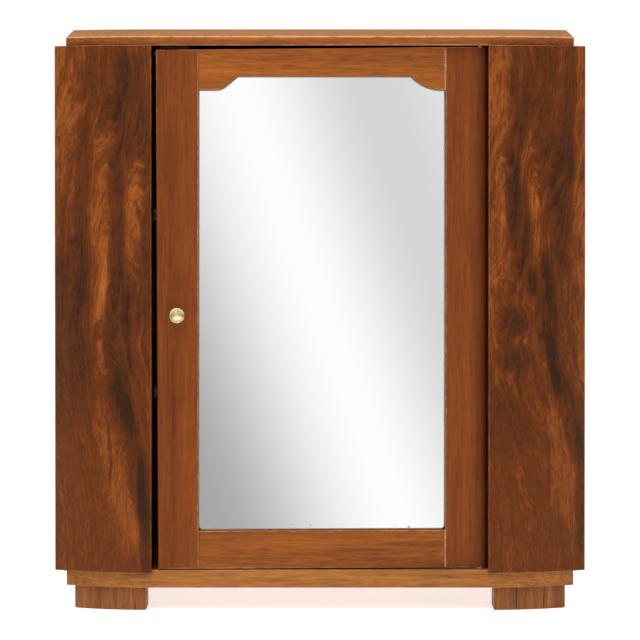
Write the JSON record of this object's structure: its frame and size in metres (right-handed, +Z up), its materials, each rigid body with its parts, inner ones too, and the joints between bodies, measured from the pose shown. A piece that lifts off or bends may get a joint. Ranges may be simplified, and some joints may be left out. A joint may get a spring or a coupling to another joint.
{
  "type": "medicine cabinet",
  "caption": "Small standing wall or shelf cabinet with bow-fronted walnut pilasters, an inset framed mirror door on pin hinges, a brass knob, inner shelves and block feet.",
  "frame": {"origin": "on the floor, below the middle of the whole cabinet with its knob and hanger plates, at rest", "axes": "+X to the right as seen from the front, +Y to the back, +Z up; the door faces -Y"},
  "size_m": [0.46, 0.2014, 0.502],
  "materials": {
    "figured_walnut": "satin, figured veneer with dark streaks",
    "walnut": "satin, straight grain",
    "stile_walnut": "satin, reddish straight grain",
    "inner_wood": "matt, unpolished",
    "plywood": "matt, thin plywood",
    "beech": "raw",
    "mirror": "silvered plate glass",
    "brass": "worn, turned",
    "steel": "dull"
  },
  "bodies": {
    "cabinet": {"back_panel": "plywood", "back_panel_screws": "steel", "base_board": "walnut", "base_dowels": "beech", "corner_batten_left": "inner_wood", "corner_batten_right": "inner_wood", "corner_batten_screws": "steel", "door_stop_lower": "inner_wood", "door_stop_screws": "steel", "door_stop_upper": "inner_wood", "foot_front_left": "figured_walnut", "foot_front_right": "figured_walnut", "foot_rear_left": "figured_walnut", "foot_rear_right": "figured_walnut", "foot_screws": "steel", "hanger_plate_left": "steel", "hanger_plate_right": "steel", "hanger_screws": "steel", "pilaster_left": "figured_walnut", "pilaster_right": "figured_walnut", "pivot_plate_base": "brass", "pivot_plate_screws": "brass", "pivot_plate_top": "brass", "pivot_washer": "brass", "shelf_cleat_lower_left": "inner_wood", "shelf_cleat_lower_right": "inner_wood", "shelf_cleat_screws": "steel", "shelf_cleat_upper_left": "inner_wood", "shelf_cleat_upper_right": "inner_wood", "shelf_lower": "inner_wood", "shelf_upper": "inner_wood", "side_panel_left": "walnut", "side_panel_right": "walnut", "strike_plate": "brass", "strike_plate_screws": "brass", "top_board": "walnut", "top_dowels": "beech"},
    "door": {"door_stile_knob": "stile_walnut", "door_stile_hinge": "stile_walnut", "door_rail_top": "walnut", "door_rail_bottom": "walnut", "mirror_glass": "mirror", "mirror_backing": "plywood", "bead_left": "inner_wood", "bead_right": "inner_wood", "bead_top": "inner_wood", "bead_bottom": "inner_wood", "bead_pins": "steel", "knob": "brass", "knob_screw": "steel", "pivot_plate_door_lower": "brass", "pivot_plate_door_upper": "brass", "door_pivot_screws": "brass", "catch_barrel": "brass", "catch_spring": "steel"},
    "ball": {"catch_ball": "steel"}
  },
  "joints": [
    {"name": "door_swing", "type": "hinge", "parent": "cabinet", "child": "door", "pos_m": [0.1386, -0.07233, 0.036], "axis": [0, 0, 1], "range_deg": [-2, 88]},
    {"name": "catch_ball_press", "type": "slide", "parent": "door", "child": "ball", "axis": [0, 0, 1], "range_m": [0, 0.001], "stiffness_N_per_m": 400, "springref_m": -0.002, "deforming": ["catch_spring"]}
  ]
}
